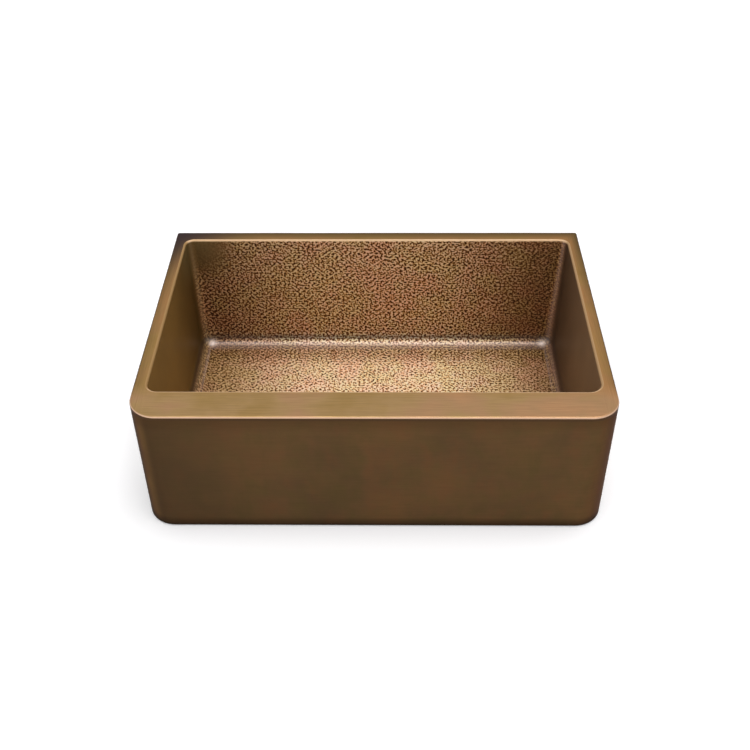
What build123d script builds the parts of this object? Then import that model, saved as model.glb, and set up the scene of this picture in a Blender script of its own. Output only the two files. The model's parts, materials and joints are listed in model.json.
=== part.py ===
from build123d import *
import os

# A farmhouse apron front sink in double-wall sheet copper, with its basket strainer drain.
# Millimetres. X runs along the sink, Y from the apron (front, -Y) to the wall (back, +Y), Z up.
# The origin is the centre of the base plane, which is also the axis of the drain.

# ---- outside of the sink -------------------------------------------------------------------
WIDTH = 838.2
DEPTH = 578.0
HEIGHT = 270.0
SHEET = 1.6
FRONT_CORNER_R = 52.0
BACK_CORNER_R = 5.0
EDGE_ROLL_R = 4.5
RIM_LIP = 8.0
PAN_LIP = 8.0
BACK_RETURN = 16.0

# ---- opening and bowl ----------------------------------------------------------------------
FRONT_RIM = 68.5
BACK_RIM = 32.5
SIDE_RIM = 24.5
OPENING_CORNERS = {"front_left": 20.0, "front_right": 24.0, "back_right": 16.0, "back_left": 16.0}
FLOOR_TOP = 16.0
FLOOR_CORNER_R = 31.0
FLOOR_FILLET_R = 25.0
FRONT_DRAFT = 8.0
SIDE_DRAFT = 6.0
BACK_DRAFT = 12.5

# ---- drain seat pressed into the floor and the base pan ---------------------------------------
DRAIN_HOLE_R = 44.5
DISH_DEPTH = 2.5
DISH_R = 58.5
DISH_RIM_R = 65.0
SEAT_RISE = 5.0
SEAT_R = 62.0
SEAT_RIM_R = 68.0
BACKING_RING_R = 58.0

# ---- hat-section stiffeners ----------------------------------------------------------------
HAT_TOP = 30.0
HAT_FLANGE = 14.0
HAT_SHEET = 1.2
RAIL_X = (-290.0, -145.0, 145.0, 290.0)
RAIL_FRONT = -186.0
RAIL_LENGTH = 402.0
APRON_HAT_X = (-270.0, -90.0, 90.0, 270.0)
BACK_HAT_X = (-250.0, 0.0, 250.0)
SIDE_HAT_Y = (-120.0, 120.0)
FRONT_HAT_DEPTH = 16.0
SIDE_HAT_DEPTH = 11.0
HAT_END_GAP = 14.0

# ---- strainer body: a 3.5 inch drain with a 1.5 inch outlet ------------------------------------
FLANGE_R = 57.15
FLANGE_THICKNESS = 2.4
FLANGE_EDGE = 0.8
FLANGE_SLOPE = 4.0
GASKET_THICKNESS = 1.5
GASKET_R = 55.5
CUP_R = 43.0
CUP_WALL = 1.6
BEVEL_R = 46.5
BEVEL_DROP = 2.0
CUP_FLOOR_Z = -26.0
SEAT_TOP_R = 25.0
SEAT_TOP_Z = -31.0
OUTLET_BORE_R = 19.05
CUP_FLOOR_WALL = 1.3
SEAT_WALL = 2.5
NECK_R = 23.6
NECK_END_Z = -52.0
THREAD_GAP = 0.15

# ---- what clamps the strainer and carries the waste water away --------------------------------
SEALING_WASHER = 3.0
FRICTION_RING = 1.0
LOCKNUT_HEIGHT = 12.0
LOCKNUT_R = 49.5
LUG_R = 54.0
LUG_WIDTH = 12.0
LUG_COUNT = 6
FRICTION_RING_R = 53.0
TAIL_WASHER = 2.0
TAIL_FLANGE = 2.0
TAIL_FLANGE_R = 23.4
TAIL_R = 19.05
TAIL_WALL = 1.2
TAIL_LENGTH = 101.6
TAIL_FLARE = 4.0
TAIL_FLARE_R = 19.65
COUPLING_ACROSS = 57.0
COUPLING_TOP_Z = -41.0
COUPLING_LIP = 3.0
COUPLING_CHAMFER = 8.0

# ---- basket --------------------------------------------------------------------------------
BASKET_SHEET = 1.0
BASKET_LIP_R = 45.5
BASKET_TOP_R = 39.5
BASKET_FLOOR_R = 34.0
BASKET_FLOOR_Z = -13.0
BASKET_CORNER_R = 4.0
BASKET_GAP = 0.39
HUB_HOLE_R = 7.0
HOLE_R = 2.0
HOLE_RINGS = ((13.5, 8), (20.0, 14), (26.5, 20))
SLOT_COUNT = 18
SLOT_WIDTH = 2.6
SLOT_REACH = 6.0
SLOT_Z = (-6.0, 8.0)
BUSH_FLANGE_R = 10.5
BUSH_FLANGE = 2.0
BUSH_END_Z = -15.0
BUSH_WASHER = 1.4
BUSH_WASHER_R = 11.0

# ---- stopper, drawn closed on its seat --------------------------------------------------------
TRAVEL = 8.0
POST_R = 4.0
POST_GAP = 0.05
POST_END_Z = -42.0
COLLAR_R = 6.0
COLLAR_HEIGHT = 1.4
CLIP_CLEARANCE = 0.4
CLIP_THICKNESS = 1.2
CLIP_R = 7.0
CLIP_MOUTH = 5.0
PLATE_THICKNESS = 1.2
PLATE_R = 22.0
SEAL_TOP_Z = -28.0
SEAL_HEIGHT = 8.0
SEAL_R = 26.5
SEAL_RIM = 1.1
SEAT_GAP = 0.42
SEAL_NUT_ACROSS = 13.0
SEAL_NUT_HEIGHT = 4.0
KNOB_Z = 0.0
KNOB_HEIGHT = 12.0
KNOB_R = 11.0
KNOB_STEM_R = 6.0
KNOB_WAIST = 4.0
KNOB_CROWN = 7.8
KNOB_SOCKET = 8.0
KNOB_FOOT_ROUND = 1.0
KNOB_WAIST_ROUND = 2.0
KNOB_TOP_ROUND = 2.5

# ---- how far a cutting form reaches past what it cuts ------------------------------------------
OVERSHOOT = 1.0

# ---- levels that follow from the above ---------------------------------------------------------
DISH_FLOOR_Z = FLOOR_TOP - DISH_DEPTH
FLANGE_UNDER_Z = DISH_FLOOR_Z + GASKET_THICKNESS
FLANGE_TOP_Z = FLANGE_UNDER_Z + FLANGE_THICKNESS
CUP_BORE_R = CUP_R - CUP_WALL
LOCKNUT_TOP_Z = SEAT_RISE - SEALING_WASHER - FRICTION_RING
TAIL_TOP_Z = NECK_END_Z - TAIL_WASHER
TAIL_TUBE_Z = TAIL_TOP_Z - TAIL_FLANGE
TAIL_END_Z = TAIL_TOP_Z - TAIL_LENGTH
CLIP_TOP_Z = BUSH_END_Z - TRAVEL - CLIP_CLEARANCE


def plan(left, right, front, back, radii):
    """Rectangle seen from above, its corners rounded in the order FL, FR, BR, BL."""
    corners = [(left, front), (right, front), (right, back), (left, back)]
    return make_face(FilletPolyline(*corners, radius=radii, close=True))


def outside_plan(inset=0.0):
    """Outline of the sink, drawn in by the inset."""
    half_width = WIDTH / 2 - inset
    half_depth = DEPTH / 2 - inset
    front_r = FRONT_CORNER_R - inset
    back_r = BACK_CORNER_R - inset
    return plan(-half_width, half_width, -half_depth, half_depth, [front_r, front_r, back_r, back_r])


def opening_plan(outset=0.0):
    """Outline of the opening in the rim, let out by the outset."""
    half_width = WIDTH / 2 - SIDE_RIM + outset
    front = -DEPTH / 2 + FRONT_RIM - outset
    back = DEPTH / 2 - BACK_RIM + outset
    radii = [r + outset for r in OPENING_CORNERS.values()]
    return plan(-half_width, half_width, front, back, radii)


def floor_plan(outset=0.0):
    """Outline where the drafted walls meet the bowl's floor, before the fillet."""
    half_width = WIDTH / 2 - SIDE_RIM - SIDE_DRAFT + outset
    front = -DEPTH / 2 + FRONT_RIM + FRONT_DRAFT - outset
    back = DEPTH / 2 - BACK_RIM - BACK_DRAFT + outset
    return plan(-half_width, half_width, front, back, [FLOOR_CORNER_R + outset] * 4)


def slab(face, low, high):
    """Upright prism of a plan between two heights."""
    return extrude(Pos(0, 0, low) * face, high - low)


def disc(radius, low, high):
    """Upright cylinder on the drain's axis."""
    return Pos(0, 0, (low + high) / 2) * Cylinder(radius, high - low)


def ring(outer_r, inner_r, low, high):
    """Flat ring on the drain's axis."""
    return disc(outer_r, low, high) - disc(inner_r, low - OVERSHOOT, high + OVERSHOOT)


def cone(low_r, high_r, low, high):
    """Upright cone frustum on the drain's axis."""
    return Pos(0, 0, (low + high) / 2) * Cone(low_r, high_r, high - low)


def turned(points, radii=0.0):
    """Solid turned about the drain's axis from (radius, height) points, its corners rounded."""
    outline = FilletPolyline(*points, radius=radii, close=True)
    return revolve(make_face(Plane.XZ * outline), Axis.Z)


def top_edges(solid):
    """Edges round the highest flat face."""
    return solid.faces().sort_by(Axis.Z)[-1].edges()


def bottom_edges(solid):
    """Edges round the lowest flat face."""
    return solid.faces().sort_by(Axis.Z)[0].edges()


# ---- sheet metal of the sink ---------------------------------------------------------------


def rim_deck():
    """Flat ring with both edges rolled down to the apron and to the bowl."""
    low = HEIGHT - RIM_LIP
    skin = slab(outside_plan(), low, HEIGHT) - slab(opening_plan(), low, HEIGHT)
    skin = fillet(top_edges(skin), EDGE_ROLL_R)
    under = slab(outside_plan(SHEET), low, HEIGHT - SHEET)
    under -= slab(opening_plan(SHEET), low, HEIGHT - SHEET)
    under = fillet(top_edges(under), EDGE_ROLL_R - SHEET)
    return skin - under


def skin_ring():
    """The upright outer skin all round, between the rim's lip and the pan's."""
    low = PAN_LIP
    high = HEIGHT - RIM_LIP
    return slab(outside_plan(), low, high) - slab(outside_plan(SHEET), low, high)


def rear_zone():
    """Block that holds the back panel with its two bent returns."""
    block = Box(WIDTH + 2 * OVERSHOOT, BACK_RETURN, HEIGHT)
    return Pos(0, DEPTH / 2 - BACK_RETURN / 2, HEIGHT / 2) * block


def apron_wrap():
    """Front and both sides, one sheet bent round the large front corners."""
    return skin_ring() - rear_zone()


def back_panel():
    """Rear sheet with its corners bent forward to the side seams."""
    return skin_ring() & rear_zone()


def bowl_form(outset):
    """The bowl as a filled form: drafted walls, rounded corners, floor fillet and drain dish."""
    top = Pos(0, 0, HEIGHT - RIM_LIP) * opening_plan(outset)
    floor_z = FLOOR_TOP - outset
    base = Pos(0, 0, floor_z) * floor_plan(outset)
    form = loft([base, top], ruled=True)
    form = fillet(bottom_edges(form), FLOOR_FILLET_R + outset)
    dish = cone(DISH_R + outset, DISH_RIM_R + outset, floor_z - DISH_DEPTH, floor_z)
    return form + dish


def hammered_basin():
    """Bowl of one sheet thickness with the drain hole."""
    bowl = bowl_form(SHEET) - bowl_form(0.0)
    return bowl - disc(DRAIN_HOLE_R, 0, HEIGHT)


def base_pan():
    """Closing tray under the sink, with a seat pressed up round the drain hole."""
    tray = fillet(bottom_edges(slab(outside_plan(), 0, PAN_LIP)), EDGE_ROLL_R)
    inside = slab(outside_plan(SHEET), SHEET, PAN_LIP)
    tray -= fillet(bottom_edges(inside), EDGE_ROLL_R - SHEET)
    tray += cone(SEAT_RIM_R + SHEET, SEAT_R + SHEET, SHEET, SEAT_RISE + SHEET)
    tray -= cone(SEAT_RIM_R, SEAT_R, 0, SEAT_RISE)
    return tray - disc(DRAIN_HOLE_R, 0, HEIGHT)


def drain_backing_ring():
    """Solid ring that fills the gap between the dished floor and the pan's seat."""
    return ring(BACKING_RING_R, DRAIN_HOLE_R, SEAT_RISE + SHEET, DISH_FLOOR_Z - SHEET)


def hat_section(depth):
    """Hat profile: flanges on the X axis, crown at Y = depth."""
    crown = HAT_TOP / 2
    brim = crown + HAT_FLANGE
    half = [
        (0, depth),
        (crown, depth),
        (crown, HAT_SHEET),
        (brim, HAT_SHEET),
        (brim, 0),
        (crown - HAT_SHEET, 0),
        (crown - HAT_SHEET, depth - HAT_SHEET),
        (0, depth - HAT_SHEET),
    ]
    right = make_face(Polyline(*half, close=True))
    return right + mirror(right, Plane.YZ)


def upright_hats(depth, places):
    """Upright hat sections at (x, y, turn) places on the inside of the skin."""
    low = PAN_LIP + HAT_END_GAP
    length = HEIGHT - RIM_LIP - HAT_END_GAP - low
    hat = extrude(hat_section(depth), length)
    return Compound([Pos(x, y, low) * Rot(0, 0, turn) * hat for x, y, turn in places])


def apron_stiffeners():
    """Hat sections behind the apron."""
    y = -DEPTH / 2 + SHEET
    return upright_hats(FRONT_HAT_DEPTH, [(x, y, 0) for x in APRON_HAT_X])


def back_stiffeners():
    """Hat sections on the back panel."""
    y = DEPTH / 2 - SHEET
    return upright_hats(FRONT_HAT_DEPTH, [(x, y, 180) for x in BACK_HAT_X])


def side_stiffeners():
    """Shallower hat sections in the narrow side gaps."""
    x = WIDTH / 2 - SHEET
    left = [(-x, y, -90) for y in SIDE_HAT_Y]
    right = [(x, y, 90) for y in SIDE_HAT_Y]
    return upright_hats(SIDE_HAT_DEPTH, left + right)


def floor_rails():
    """Hat sections from front to back that carry the floor over the pan."""
    rail = extrude(hat_section(FLOOR_TOP - 2 * SHEET), RAIL_LENGTH)
    laid = Rot(90, 0, 0) * rail
    rear = RAIL_FRONT + RAIL_LENGTH
    return Compound([Pos(x, rear, SHEET) * laid for x in RAIL_X])


# ---- drain fittings fixed to the sink ----------------------------------------------------------


def strainer_body():
    """Flanged cup with a bevelled mouth, a conical valve seat and the outlet neck."""
    neck_top_z = SEAT_TOP_Z - (SEAT_TOP_R - OUTLET_BORE_R)
    inside = [
        (BEVEL_R, FLANGE_TOP_Z),
        (CUP_BORE_R, FLANGE_TOP_Z - BEVEL_DROP),
        (CUP_BORE_R, CUP_FLOOR_Z),
        (SEAT_TOP_R, SEAT_TOP_Z),
        (OUTLET_BORE_R, neck_top_z),
        (OUTLET_BORE_R, NECK_END_Z),
    ]
    outside = [
        (NECK_R, NECK_END_Z),
        (NECK_R, neck_top_z + CUP_FLOOR_WALL),
        (SEAT_TOP_R + SEAT_WALL, SEAT_TOP_Z - CUP_FLOOR_WALL),
        (CUP_R, CUP_FLOOR_Z - CUP_FLOOR_WALL),
        (CUP_R, FLANGE_UNDER_Z),
        (FLANGE_R, FLANGE_UNDER_Z),
        (FLANGE_R, FLANGE_UNDER_Z + FLANGE_EDGE),
        (FLANGE_R - FLANGE_SLOPE, FLANGE_TOP_Z),
    ]
    return turned(inside + outside)


def strainer_gasket():
    """Seal between the dished floor and the flange."""
    return ring(GASKET_R, DRAIN_HOLE_R, DISH_FLOOR_Z, FLANGE_UNDER_Z)


def sealing_washer():
    """Rubber washer under the pan's seat."""
    return ring(LUG_R, CUP_R + THREAD_GAP, SEAT_RISE - SEALING_WASHER, SEAT_RISE)


def friction_ring():
    """Slip ring that keeps the turning nut off the rubber."""
    return ring(FRICTION_RING_R, CUP_R + THREAD_GAP, LOCKNUT_TOP_Z, LOCKNUT_TOP_Z + FRICTION_RING)


def locknut():
    """Round nut with lugs for the wrench."""
    low = LOCKNUT_TOP_Z - LOCKNUT_HEIGHT
    nut = disc(LOCKNUT_R, low, LOCKNUT_TOP_Z)
    lug = Pos(LUG_R / 2, 0, (low + LOCKNUT_TOP_Z) / 2) * Box(LUG_R, LUG_WIDTH, LOCKNUT_HEIGHT)
    for turn in range(LUG_COUNT):
        nut += Rot(0, 0, turn * 360 / LUG_COUNT) * lug
    return nut - disc(CUP_R + THREAD_GAP, low, LOCKNUT_TOP_Z)


def tailpiece_washer():
    """Seal between the outlet neck and the tailpiece's flange."""
    return ring(TAIL_FLANGE_R, TAIL_R - TAIL_WALL, TAIL_TOP_Z, NECK_END_Z)


def tailpiece():
    """Outlet tube with a flange that flares out of the tube."""
    return turned(
        [
            (TAIL_R - TAIL_WALL, TAIL_TOP_Z),
            (TAIL_R - TAIL_WALL, TAIL_END_Z),
            (TAIL_R, TAIL_END_Z),
            (TAIL_R, TAIL_TUBE_Z - TAIL_FLARE),
            (TAIL_FLARE_R, TAIL_TUBE_Z),
            (TAIL_FLANGE_R, TAIL_TUBE_Z),
            (TAIL_FLANGE_R, TAIL_TOP_Z),
        ]
    )


def coupling_nut():
    """Hexagon nut with an inner lip that draws the tailpiece up to the neck."""
    low = TAIL_TUBE_Z - COUPLING_LIP
    flat_r = COUPLING_ACROSS / 2
    hexagon = RegularPolygon(flat_r, side_count=6, major_radius=False)
    nut = slab(hexagon, low, COUPLING_TOP_Z)
    chamfered = cone(flat_r, flat_r + COUPLING_CHAMFER, low, low + COUPLING_CHAMFER)
    nut &= chamfered + disc(COUPLING_ACROSS, low + COUPLING_CHAMFER, COUPLING_TOP_Z)
    nut -= disc(NECK_R + THREAD_GAP, TAIL_TUBE_Z, COUPLING_TOP_Z)
    return nut - disc(TAIL_FLARE_R + THREAD_GAP, low, TAIL_TUBE_Z)


# ---- basket, lifts out -----------------------------------------------------------------------


def basket_cup():
    """Perforated cup whose flared lip sits over the strainer's bevel."""
    slope = BEVEL_DROP / (BEVEL_R - CUP_BORE_R)
    lip_under = FLANGE_TOP_Z - slope * (BEVEL_R - BASKET_LIP_R) + BASKET_GAP
    neck_under = lip_under - slope * (BASKET_LIP_R - BASKET_TOP_R)
    floor_top = BASKET_FLOOR_Z + BASKET_SHEET
    points = [
        (HUB_HOLE_R, BASKET_FLOOR_Z),
        (BASKET_FLOOR_R, BASKET_FLOOR_Z),
        (BASKET_TOP_R, neck_under),
        (BASKET_LIP_R, lip_under),
        (BASKET_LIP_R, lip_under + BASKET_SHEET),
        (BASKET_TOP_R - BASKET_SHEET, neck_under + BASKET_SHEET),
        (BASKET_FLOOR_R - BASKET_SHEET, floor_top),
        (HUB_HOLE_R, floor_top),
    ]
    radii = [0, BASKET_CORNER_R, 0, 0, 0, 0, BASKET_CORNER_R - BASKET_SHEET, 0]
    return turned(points, radii) - perforations()


def perforations():
    """Round holes in rings through the basket's floor and slots round its wall."""
    floor_top = BASKET_FLOOR_Z + BASKET_SHEET
    pin = disc(HOLE_R, BASKET_FLOOR_Z - OVERSHOOT, floor_top + OVERSHOOT)
    cutters = []
    for radius, count in HOLE_RINGS:
        cutters += [Rot(0, 0, turn * 360 / count) * Pos(radius, 0, 0) * pin for turn in range(count)]
    low, high = SLOT_Z
    slot = Pos(BASKET_TOP_R, 0, (low + high) / 2) * Box(2 * SLOT_REACH, SLOT_WIDTH, high - low)
    cutters += [Rot(0, 0, turn * 360 / SLOT_COUNT) * slot for turn in range(SLOT_COUNT)]
    return cutters


def guide_bush():
    """Flanged bush in the basket's hub."""
    floor_top = BASKET_FLOOR_Z + BASKET_SHEET
    top = floor_top + BUSH_FLANGE
    bush = disc(HUB_HOLE_R, BUSH_END_Z, floor_top) + disc(BUSH_FLANGE_R, floor_top, top)
    return bush - disc(POST_R + POST_GAP, BUSH_END_Z, top)


def bush_washer():
    """Ring pressed on the bush under the basket's floor."""
    return ring(BUSH_WASHER_R, HUB_HOLE_R, BASKET_FLOOR_Z - BUSH_WASHER, BASKET_FLOOR_Z)


# ---- stopper, slides in the basket ---------------------------------------------------------------


def stopper_post():
    """Round post with the collar that the rubber is drawn up against."""
    collar_low = SEAL_TOP_Z + PLATE_THICKNESS
    post = disc(POST_R, POST_END_Z, KNOB_Z + KNOB_SOCKET)
    return post + disc(COLLAR_R, collar_low, collar_low + COLLAR_HEIGHT)


def stopper_knob():
    """Mushroom knob on the post."""
    top = KNOB_Z + KNOB_HEIGHT
    points = [
        (POST_R, KNOB_Z),
        (KNOB_STEM_R, KNOB_Z),
        (KNOB_STEM_R, KNOB_Z + KNOB_WAIST),
        (KNOB_R, KNOB_Z + KNOB_CROWN),
        (KNOB_R, top),
        (0, top),
        (0, KNOB_Z + KNOB_SOCKET),
        (POST_R, KNOB_Z + KNOB_SOCKET),
    ]
    rounds = [0, KNOB_FOOT_ROUND, KNOB_WAIST_ROUND, KNOB_FOOT_ROUND, KNOB_TOP_ROUND, 0, 0, 0]
    return turned(points, rounds)


def post_clip():
    """Open spring clip that stops the post under the bush."""
    clip = ring(CLIP_R, POST_R, CLIP_TOP_Z - CLIP_THICKNESS, CLIP_TOP_Z)
    return clip - Pos(CLIP_R, 0, CLIP_TOP_Z) * Box(2 * CLIP_R, CLIP_MOUTH, 2 * CLIP_R)


def seal_plate():
    """Metal plate that backs the rubber."""
    return ring(PLATE_R, POST_R, SEAL_TOP_Z, SEAL_TOP_Z + PLATE_THICKNESS)


def stopper_seal():
    """Conical rubber plug, just off its seat."""
    bottom = SEAL_TOP_Z - SEAL_HEIGHT
    shoulder = SEAL_TOP_Z - SEAL_RIM
    bottom_r = SEAT_TOP_R - (SEAT_TOP_Z - bottom) - SEAT_GAP
    return turned(
        [
            (POST_R, bottom),
            (bottom_r, bottom),
            (SEAL_R, shoulder),
            (SEAL_R, SEAL_TOP_Z),
            (POST_R, SEAL_TOP_Z),
        ]
    )


def seal_nut():
    """Hexagon nut under the rubber."""
    top = SEAL_TOP_Z - SEAL_HEIGHT
    hexagon = RegularPolygon(SEAL_NUT_ACROSS / 2, side_count=6, major_radius=False)
    return slab(hexagon, top - SEAL_NUT_HEIGHT, top) - disc(POST_R, POST_END_Z, top)


PIECES = [
    apron_wrap,
    back_panel,
    rim_deck,
    hammered_basin,
    base_pan,
    drain_backing_ring,
    floor_rails,
    apron_stiffeners,
    side_stiffeners,
    back_stiffeners,
    strainer_gasket,
    strainer_body,
    sealing_washer,
    friction_ring,
    locknut,
    tailpiece_washer,
    tailpiece,
    coupling_nut,
    basket_cup,
    guide_bush,
    bush_washer,
    stopper_post,
    stopper_knob,
    post_clip,
    seal_plate,
    stopper_seal,
    seal_nut,
]

os.makedirs("parts", exist_ok=True)
for piece in PIECES:
    solid = piece()
    export_step(solid, f"parts/{piece.__name__}.step")
    print(f"{piece.__name__}: {len(solid.solids())} solid(s), {solid.volume:.0f} mm3")
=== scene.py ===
# %% [markdown]
# # A farmhouse apron front sink in hammered copper
# The measured model gives every piece its place: the skins, the bowl, the hidden stiffeners and the basket
# strainer. This script dresses it. Sheets that show are laid out again as fine surfaces, because hammer marks
# and the soft waves of hand-finished sheet need more points than a measured model has. The other pieces keep
# their shape and only get their finish.

# %% Load the measured model
import json
import bpy
import numpy as np
from mathutils import Matrix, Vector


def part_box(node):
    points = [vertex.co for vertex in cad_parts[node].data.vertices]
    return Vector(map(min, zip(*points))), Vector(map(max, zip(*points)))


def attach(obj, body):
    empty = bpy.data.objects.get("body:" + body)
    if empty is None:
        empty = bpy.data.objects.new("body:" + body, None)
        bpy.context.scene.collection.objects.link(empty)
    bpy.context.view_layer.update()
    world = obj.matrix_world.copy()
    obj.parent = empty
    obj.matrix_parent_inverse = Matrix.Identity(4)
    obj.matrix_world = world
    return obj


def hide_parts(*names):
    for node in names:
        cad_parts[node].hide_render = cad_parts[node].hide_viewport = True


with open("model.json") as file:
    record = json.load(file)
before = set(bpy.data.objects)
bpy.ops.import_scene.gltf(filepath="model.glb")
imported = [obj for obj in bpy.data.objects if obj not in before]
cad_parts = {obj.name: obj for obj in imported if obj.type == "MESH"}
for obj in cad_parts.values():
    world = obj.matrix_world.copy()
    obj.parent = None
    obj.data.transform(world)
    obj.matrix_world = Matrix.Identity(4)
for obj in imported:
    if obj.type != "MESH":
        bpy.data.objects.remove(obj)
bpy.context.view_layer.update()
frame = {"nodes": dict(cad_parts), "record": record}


def rounded(values):
    """Sizes in metres, short enough to print."""
    return [round(float(v), 4) for v in np.ravel(values)]


# %% [markdown]
# ## The camera
# The sink is seen from the front and about forty degrees above. The place and the angles were found by
# matching the rim's four edges, the apron's foot and the rounded front corners. A camera looks along its own
# -Z, so its three axes are built from the yaw, the pitch and the roll, and written into one matrix.

# %% Camera
MM = 0.001
LENS_MM = 49.6
SENSOR_MM = 36.0
CAMERA_AT = (0.026, -1.566, 1.437)
YAW = np.radians(-1.00)
PITCH = np.radians(40.05)
ROLL = np.radians(-0.57)
CLIP_NEAR, CLIP_FAR = 0.05, 60.0


def add_object(name, data):
    """New object in the scene for a mesh, a lamp or a camera."""
    made = bpy.data.objects.new(name, data)
    bpy.context.scene.collection.objects.link(made)
    return made


def placed(axes, at=(0.0, 0.0, 0.0)):
    """Matrix whose columns are the object's own X, Y and Z directions and its place."""
    return Matrix([*zip(*axes, at), (0, 0, 0, 1)])


def add_camera():
    """Axes: forward from yaw and pitch, right at a right angle to it in the level plane, then both turned by
    the roll."""
    forward = np.array([np.sin(YAW) * np.cos(PITCH), np.cos(YAW) * np.cos(PITCH), -np.sin(PITCH)])
    level = np.array([np.cos(YAW), -np.sin(YAW), 0.0])
    upward = np.cross(level, forward)
    right = np.cos(ROLL) * level + np.sin(ROLL) * upward
    above = np.cos(ROLL) * upward - np.sin(ROLL) * level
    lens = bpy.data.cameras.new("camera")
    lens.lens = LENS_MM
    lens.sensor_width = SENSOR_MM
    lens.clip_start, lens.clip_end = CLIP_NEAR, CLIP_FAR
    camera = add_object("camera", lens)
    camera.matrix_world = placed((right, above, -forward), CAMERA_AT)
    bpy.context.scene.camera = camera
    return camera


print("camera at", tuple(add_camera().location))

# %% [markdown]
# ## Small helpers for node materials
# A finish is a tree of nodes. One helper adds a node to the finish begun last and connects what it is given: a
# socket becomes a link, and anything else the input's own value. A recipe then reads as a list of steps.

# %% Node helpers
BEGUN = []


def begin(owner):
    """Empties the nodes of a material or a world; the helpers below write into the one begun last."""
    owner.use_nodes = True
    owner.node_tree.nodes.clear()
    BEGUN.append(owner)


def node(kind, inputs=None, **settings):
    """Adds a node, sets its properties, and links or fills its inputs."""
    tree = BEGUN[-1].node_tree
    made = tree.nodes.new(kind)
    for key, value in settings.items():
        setattr(made, key, value)
    for key, value in (inputs or {}).items():
        if isinstance(value, bpy.types.NodeSocket):
            tree.links.new(value, made.inputs[key])
        else:
            made.inputs[key].default_value = value
    return made


def shade(**inputs):
    """Principled shader wired to the output; underscores in the names stand for spaces."""
    named = {key.replace("_", " "): value for key, value in inputs.items()}
    shader = node("ShaderNodeBsdfPrincipled", named)
    node("ShaderNodeOutputMaterial", {"Surface": shader.outputs[0]})
    return BEGUN[-1]


def place(scale=(1.0, 1.0, 1.0)):
    """Object coordinates in metres, stretched by the scale."""
    coordinates = node("ShaderNodeTexCoord").outputs["Object"]
    return node("ShaderNodeMapping", {"Vector": coordinates, "Scale": scale}).outputs[0]


def grain(at, size_mm, detail=3.0, rough=0.5):
    """Noise whose blotches are about size_mm across where the coordinates aren't stretched."""
    inputs = {"Vector": at, "Scale": 1000.0 / size_mm, "Detail": detail, "Roughness": rough}
    return node("ShaderNodeTexNoise", inputs).outputs["Fac"]


def ramp(value, stops, smooth=False):
    """Colour ramp from (position, colour) stops; a number stands for a grey."""
    made = node("ShaderNodeValToRGB", {"Fac": value})
    band = made.color_ramp
    band.interpolation = "EASE" if smooth else "LINEAR"
    while len(band.elements) < len(stops):
        band.elements.new(0.5)
    for element, (position, colour) in zip(band.elements, stops):
        element.position = position
        element.color = (*colour, 1.0) if isinstance(colour, tuple) else (colour, colour, colour, 1.0)
    return made.outputs["Color"]


def mix(factor, first, second, way="MIX"):
    """Mix of two colours or sockets, which are the node's inputs 6 and 7."""
    first, second = [(*value, 1.0) if isinstance(value, tuple) else value for value in (first, second)]
    inputs = {0: factor, 6: first, 7: second}
    return node("ShaderNodeMix", inputs, data_type="RGBA", blend_type=way).outputs[2]


def layered(colour, *layers):
    """Tones laid over a colour one after another; each layer says how much of it and which tone."""
    for share, tone in layers:
        colour = mix(share, colour, tone)
    return colour


def calculate(operation, *values):
    """One sum on sockets or numbers."""
    return node("ShaderNodeMath", dict(enumerate(values)), operation=operation).outputs[0]


def times(first, second, add=0.0):
    """First times second plus a number; each may be a socket."""
    return calculate("MULTIPLY_ADD", first, second, add)


def between(value, start, end, low=0.0, high=1.0):
    """Number that goes from low to high while the value goes from start to end."""
    inputs = {"Value": value, "From Min": start, "From Max": end, "To Min": low, "To Max": high}
    return node("ShaderNodeMapRange", inputs).outputs[0]


def along(at, axis, start, end, low=0.0, high=1.0):
    """The same for the coordinate of one axis."""
    split = node("ShaderNodeSeparateXYZ", {"Vector": at})
    return between(split.outputs[axis], start, end, low, high)


def apart(at, point):
    """Distance from a point."""
    return node("ShaderNodeVectorMath", {0: at, 1: point}, operation="DISTANCE").outputs["Value"]


def stored(label):
    """A number that was stored with the surface."""
    return node("ShaderNodeAttribute", attribute_name=label).outputs["Fac"]


def bump(height, depth_mm, strength):
    """Relief of the given depth."""
    inputs = {"Height": height, "Distance": depth_mm * MM, "Strength": strength}
    return node("ShaderNodeBump", inputs).outputs["Normal"]


def rgb(red, green, blue):
    """Colour as read off a screen, 0 to 255, turned to the linear light that shaders use."""
    screen = np.array([red, green, blue]) / 255.0
    linear = np.where(screen <= 0.04045, screen / 12.92, ((screen + 0.055) / 1.055) ** 2.4)
    return tuple(float(v) for v in linear)


# %% [markdown]
# ## Surfaces as arrays
# Every sheet here is a grid of points: a path runs round the sink, and a profile crosses it. The path is
# straight runs joined by quarter arcs. Giving each run and each arc a fixed number of steps keeps the columns
# of two different outlines paired up, so that a rim can be stretched from the opening to the outside.

# %% Paths with rounded corners
ARC_STEPS = 32


def unit(vectors):
    """The same directions, each of length one."""
    return vectors / np.linalg.norm(vectors, axis=-1, keepdims=True)


def arc_angles():
    """Angles of a quarter arc: arcsine of evenly spaced heights to 45 degrees, then mirrored, which is where
    the edges of the floor's bent corner blocks land."""
    half = np.arcsin(np.linspace(0, 1, ARC_STEPS // 2 + 1) / np.sqrt(2))
    return np.concatenate([half, (np.pi / 2 - half)[-2::-1]])


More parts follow.
